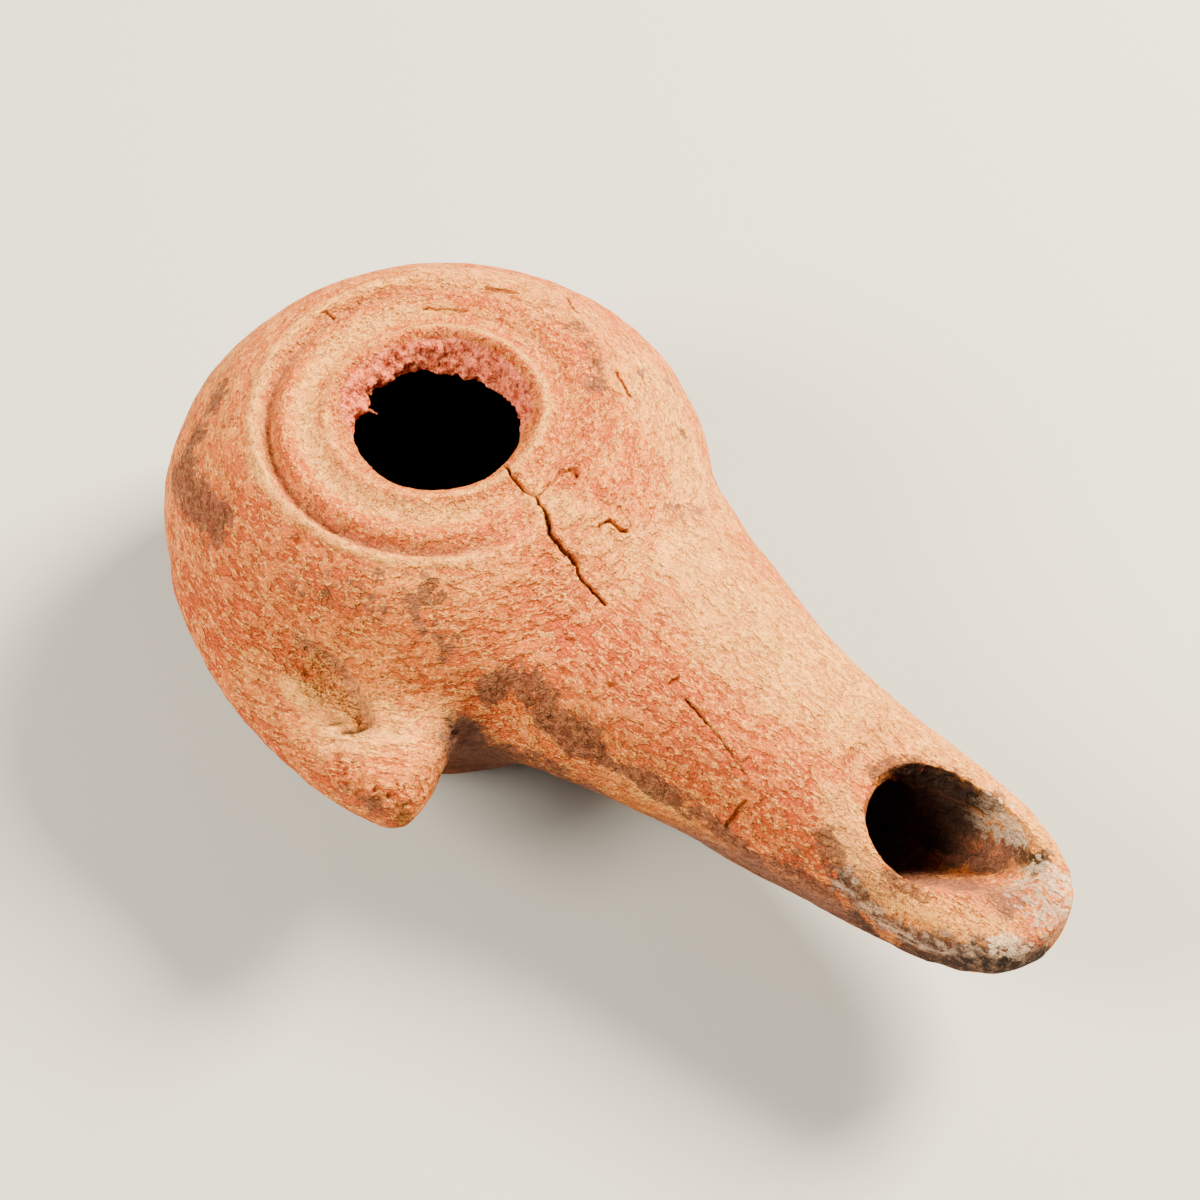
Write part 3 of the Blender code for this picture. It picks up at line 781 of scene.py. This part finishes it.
def mark_hidden_side(masks, places):
    """Scattered stains and red clay where the photograph doesn't show the lamp."""
    x, y, z = places.T
    hidden = ease(-0.25 - 2.5 * facing_share(x, y, NEAR)) * ease((33 - z) / 4)
    patches = 0.6 * ease((rough(places, 9, 41, 2) - 0.25) / 0.3)
    masks["stain_and_shade"] = np.maximum(masks["stain_and_shade"], patches * np.maximum(hidden, ease((4 - z) / 4)))
    masks["red"] = np.maximum(masks["red"], 0.8 * ease((rough(places, 14, 42) - 0.1) / 0.3) * hidden)


def mark_fracture(masks, places):
    """Torn clay at the filling hole, and the smooth red wall between it and the pale collar."""
    x, y, z = places.T
    radius = np.hypot(x, y)
    far_side = far_share(x, y)
    masks["broken"] = ease((9.4 + 2.0 * far_side - radius) / 0.8) * ease((z - 28) / 2)
    wall = far_side * ease((12.2 - radius) / 0.5) * ease((z - 30) / 2)
    masks["red"] = np.maximum(masks["red"], 0.95 * wall)
    masks["pale_wear_and_highlight"] *= 1 - 0.85 * wall


def mark(lamp, photo, chains):
    """Writes the masks that the material reads."""
    places = read_places(lamp.data)
    tree = surface_tree(lamp)
    masks = stroke_masks(places, tree, photo)
    mark_rings(masks, places)
    mark_hidden_side(masks, places)
    mark_fracture(masks, places)
    masks["crack"] = np.zeros(len(places))
    for (_, half, _), chain in zip(CRACKS, chains):
        gap = distance_to(places, chain, 3 * half)
        masks["crack"] = np.maximum(masks["crack"], ease(1.35 - gap / (1.6 * half)))
    masks["crust"] = bell(distance_to(places, photo.chain_on(tree, CRUST), 4.0), 0.0, 1.9)
    # Painted shade: darker towards the bottom of the lamp
    masks["low"] = ease((21 - places[:, 2]) / 12)
    masks["nozzle"] = ease((places[:, 0] - 20) / 16)
    masks["inside"] = inside_share(lamp, places)
    for name, value in masks.items():
        layer = lamp.data.attributes.new(name, "FLOAT", "POINT")
        layer.data.foreach_set("value", value.astype(np.float32))


def thin_out(lamp):
    """Drops faces where the surface is even, down to the most triangles that it may have."""
    lamp.data.calc_loop_triangles()
    ratio = MOST_TRIANGLES / len(lamp.data.loop_triangles)
    thin = lamp.modifiers.new("thin", "DECIMATE")
    thin.ratio = min(ratio, 1.0)
    view = bpy.context.evaluated_depsgraph_get()
    thinned = bpy.data.meshes.new_from_object(lamp.evaluated_get(view))
    lamp.modifiers.clear()
    lamp.data = thinned
    lamp.data.shade_smooth()


class Shader:
    """Short ways to add and join a material's nodes."""

    def __init__(self, name):
        self.material = bpy.data.materials.new(name)
        self.material.use_nodes = True
        self.tree = self.material.node_tree
        self.surface = self.tree.nodes["Principled BSDF"]

    def add(self, kind, inputs=(), **settings):
        node = self.tree.nodes.new(kind)
        for name, value in settings.items():
            setattr(node, name, value)
        for name, value in dict(inputs).items():
            self.put(node.inputs[name], value)
        return node

    def put(self, socket, value):
        if isinstance(value, bpy.types.NodeSocket):
            self.tree.links.new(value, socket)
        elif isinstance(value, tuple) and len(value) == 3 and socket.type == "RGBA":
            socket.default_value = (*value, 1.0)
        else:
            socket.default_value = value

    def noise(self, place, size, detail=3.0, roughness=0.55):
        """Noise of 0 to 1 with lumps of about the given size."""
        node = self.add("ShaderNodeTexNoise", {"Vector": place, "Scale": 1 / (size * MM),
                                               "Detail": detail, "Roughness": roughness})
        return node.outputs["Fac"]

    def ranged(self, value, low, high, to_low=0.0, to_high=1.0):
        node = self.add("ShaderNodeMapRange", {"Value": value, "From Min": low, "From Max": high,
                                               "To Min": to_low, "To Max": to_high},
                        interpolation_type="SMOOTHSTEP")
        return node.outputs["Result"]

    def sum(self, *values, operation="ADD"):
        total = values[0]
        for value in values[1:]:
            node = self.add("ShaderNodeMath", operation=operation)
            self.put(node.inputs[0], total)
            self.put(node.inputs[1], value)
            total = node.outputs[0]
        return total

    def product(self, *values):
        return self.sum(*values, operation="MULTIPLY")

    def mix(self, share, below, above):
        node = self.add("ShaderNodeMix", data_type="RGBA", clamp_factor=True)
        self.put(node.inputs["Factor"], share)
        self.put(node.inputs[6], below)
        self.put(node.inputs[7], above)
        return node.outputs[2]

    def line(self, value, level, width):
        """1 along a value's contour, and 0 further off than the width."""
        gap = self.sum(value, -level)
        node = self.add("ShaderNodeMath", {0: gap}, operation="ABSOLUTE")
        return self.ranged(node.outputs[0], 0.0, width, 1.0, 0.0)

    def mask(self, name):
        return self.add("ShaderNodeAttribute", attribute_name=name).outputs["Fac"]

    def bump(self, height, distance, normal=None):
        node = self.add("ShaderNodeBump", {"Height": height, "Distance": distance * MM, "Strength": 1.0})
        if normal is not None:
            self.put(node.inputs["Normal"], normal)
        return node.outputs["Normal"]


def wiped_noise(shader, place, size, detail, stretch=0.35):
    """Noise drawn out round the body and along the nozzle, as a wet hand leaves it."""
    parts = shader.add("ShaderNodeSeparateXYZ", {"Vector": place})
    flat = shader.add("ShaderNodeCombineXYZ", {"X": parts.outputs["X"], "Y": parts.outputs["Y"]})
    length = shader.add("ShaderNodeVectorMath", {0: flat.outputs[0]}, operation="LENGTH").outputs["Value"]
    turn = shader.add("ShaderNodeVectorMath", {0: flat.outputs[0]}, operation="NORMALIZE").outputs[0]
    turn = shader.add("ShaderNodeVectorMath", {0: turn, "Scale": 26 * MM * stretch},
                      operation="SCALE").outputs[0]
    rise = shader.add("ShaderNodeCombineXYZ", {"Z": parts.outputs["Z"]}).outputs[0]
    around = shader.add("ShaderNodeVectorMath", {0: turn, 1: rise}, operation="ADD").outputs[0]
    body = shader.add("ShaderNodeTexNoise", {"Vector": around, "W": length, "Scale": 1 / (size * MM),
                                             "Detail": detail, "Roughness": 0.6}, noise_dimensions="4D")
    along = shader.add("ShaderNodeVectorMath", {0: place, 1: (stretch, 1.0, 1.0)},
                       operation="MULTIPLY").outputs[0]
    nozzle = shader.add("ShaderNodeTexNoise", {"Vector": along, "Scale": 1 / (size * MM),
                                               "Detail": detail, "Roughness": 0.6})
    both = shader.add("ShaderNodeMix", {"Factor": shader.mask("nozzle"), "A": body.outputs["Fac"],
                                        "B": nozzle.outputs["Fac"]})
    return both.outputs["Result"]


def clay_noises(shader):
    """The noises that colour and relief share, by name, with lumps from 22 mm down to 0.24 mm."""
    place = shader.add("ShaderNodeTexCoord").outputs["Object"]
    noises = {
        "broad": shader.noise(place, 22, 2),
        "medium": shader.noise(place, 5, 4, 0.6),
        "patches": shader.noise(place, 2.2, 5, 0.7),
        "streak": wiped_noise(shader, place, 0.9, 3, 0.42),
        "small_streak": wiped_noise(shader, place, 0.36, 2, 0.5),
        "fine": shader.noise(place, 0.9, 4, 0.65),
        "grain": shader.noise(place, 0.24, 2, 0.6),
    }
    noises["ragged"] = shader.sum(shader.product(noises["medium"], 0.35),
                                  shader.product(noises["patches"], 0.35),
                                  shader.product(noises["fine"], 0.3))
    noises["flaky"] = shader.sum(shader.product(noises["fine"], 0.5),
                                 shader.product(noises["streak"], 0.5))
    return noises


def spread(shader, noises, name, edge, strength, raggedness=2.6, by="ragged"):
    """A mask whose soft edge is broken up by one of the clay's own noises."""
    shift = shader.product(shader.sum(noises[by], -0.5), raggedness)
    mask = shader.mask(name)
    share = shader.ranged(shader.sum(mask, shift), 0.5 - edge, 0.5 + edge, 0.0, strength)
    return shader.product(share, shader.ranged(mask, 0.0, 0.25))


def tinted(shader, noises, colour, tints):
    for name, levels, shares, tone in tints:
        colour = shader.mix(shader.ranged(noises[name], *levels, *shares), colour, tone)
    return colour


def clay_colour(shader, noises):
    """Clay first, then red clay and pale wear with painted shade and highlight, then streaks, then what
    lies on it, with painted shade, then painted shade low down, dirt with painted shade, cracks and pores,
    and last painted shade inside.
    """
    colour = shader.mix(shader.ranged(noises["broad"], 0.35, 0.65), *CLAY)
    colour = shader.mix(shader.ranged(noises["medium"], 0.45, 0.75, 0.0, 0.7), colour, WARM_CLAY)
    colour = shader.mix(spread(shader, noises, "red", 0.35, 0.8), colour, RED_CLAY_AND_SHADE)
    colour = shader.mix(spread(shader, noises, "pale_wear_and_highlight", 0.5, 0.8), colour, PALE_WEAR_AND_HIGHLIGHT)
    colour = tinted(shader, noises, colour, TINTS)
    for level, width, strength, tone in LINES:
        line = shader.line(noises["streak"], level, width)
        colour = shader.mix(shader.product(line, strength), colour, tone)
    colour = tinted(shader, noises, colour, FLECKS)
    for name, edge, strength, raggedness, noise_name, levels, tones in COATS:
        coat = shader.mix(shader.ranged(noises[noise_name], *levels), *tones)
        colour = shader.mix(spread(shader, noises, name, edge, strength, raggedness), colour, coat)
    colour = shader.mix(spread(shader, noises, "ash", 0.2, 0.7, 5.0, "fine"), colour, ASH)
    for name, strength, tone in VEILS:
        colour = shader.mix(shader.product(shader.mask(name), strength), colour, tone)
    colour = shader.mix(shader.ranged(noises["grain"], 0.25, 0.4, 0.4, 0.0), colour, PORE)
    # Painted shade inside the oil chamber and the passage
    return shader.mix(shader.product(shader.mask("inside"), 0.95), colour, PAINTED_INSIDE_SHADE)


def clay_material():
    shader = Shader("worn_terracotta")
    noises = clay_noises(shader)
    shader.put(shader.surface.inputs["Base Color"], clay_colour(shader, noises))
    shader.put(shader.surface.inputs["Roughness"], shader.ranged(noises["fine"], 0.3, 0.7, 0.95, 0.8))
    shader.put(shader.surface.inputs["Specular IOR Level"], 0.2)
    normal = None
    for name, levels, depth in RELIEF:
        height = shader.ranged(noises[name], *levels) if levels else noises[name]
        normal = shader.bump(height, depth, normal)
    shader.put(shader.surface.inputs["Normal"], normal)
    return shader.material


def build_lamp(photo):
    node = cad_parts["oil_lamp"]
    lamp = fine_copy(node, photo)
    chains = sculpt(Clay(lamp.data), node, lamp, photo)
    thin_out(lamp)
    mark(lamp, photo, chains)
    lamp.data.materials.clear()
    lamp.data.materials.append(clay_material())
    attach(lamp, "root")
    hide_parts("oil_lamp")


def build_floor():
    bm = bmesh.new()
    bmesh.ops.create_grid(bm, x_segments=1, y_segments=1, size=FLOOR_HALF_SIDE)
    mesh = bpy.data.meshes.new("floor")
    bm.to_mesh(mesh)
    bm.free()
    floor = bpy.data.objects.new("floor", mesh)
    bpy.context.scene.collection.objects.link(floor)
    paint = Shader("pale_floor")
    paint.surface.inputs["Base Color"].default_value = FLOOR_COLOUR
    paint.surface.inputs["Roughness"].default_value = FLOOR_ROUGHNESS
    mesh.materials.append(paint.material)


def add_area_light(name, direction, distance, side, power, colour):
    data = bpy.data.lights.new(name, "AREA")
    data.color = colour
    data.size = side
    data.energy = power
    light = bpy.data.objects.new(name, data)
    bpy.context.scene.collection.objects.link(light)
    aim = Vector(CAMERA_AIM) * MM
    towards = Vector(direction).normalized()
    light.location = aim + towards * distance
    light.rotation_mode = "QUATERNION"
    light.rotation_quaternion = towards.to_track_quat("Z", "Y")


def build_light():
    add_area_light("key_light", *KEY_LIGHT)
    add_area_light("fill_light", *FILL_LIGHT)
    world = bpy.data.worlds.new("studio")
    world.use_nodes = True
    sky = world.node_tree.nodes["Background"]
    sky.inputs["Color"].default_value = SKY_COLOUR
    sky.inputs["Strength"].default_value = SKY_STRENGTH
    bpy.context.scene.world = world


def main():
    photo = PhotoView()
    photo.add_camera()
    build_lamp(photo)
    build_floor()
    build_light()


main()
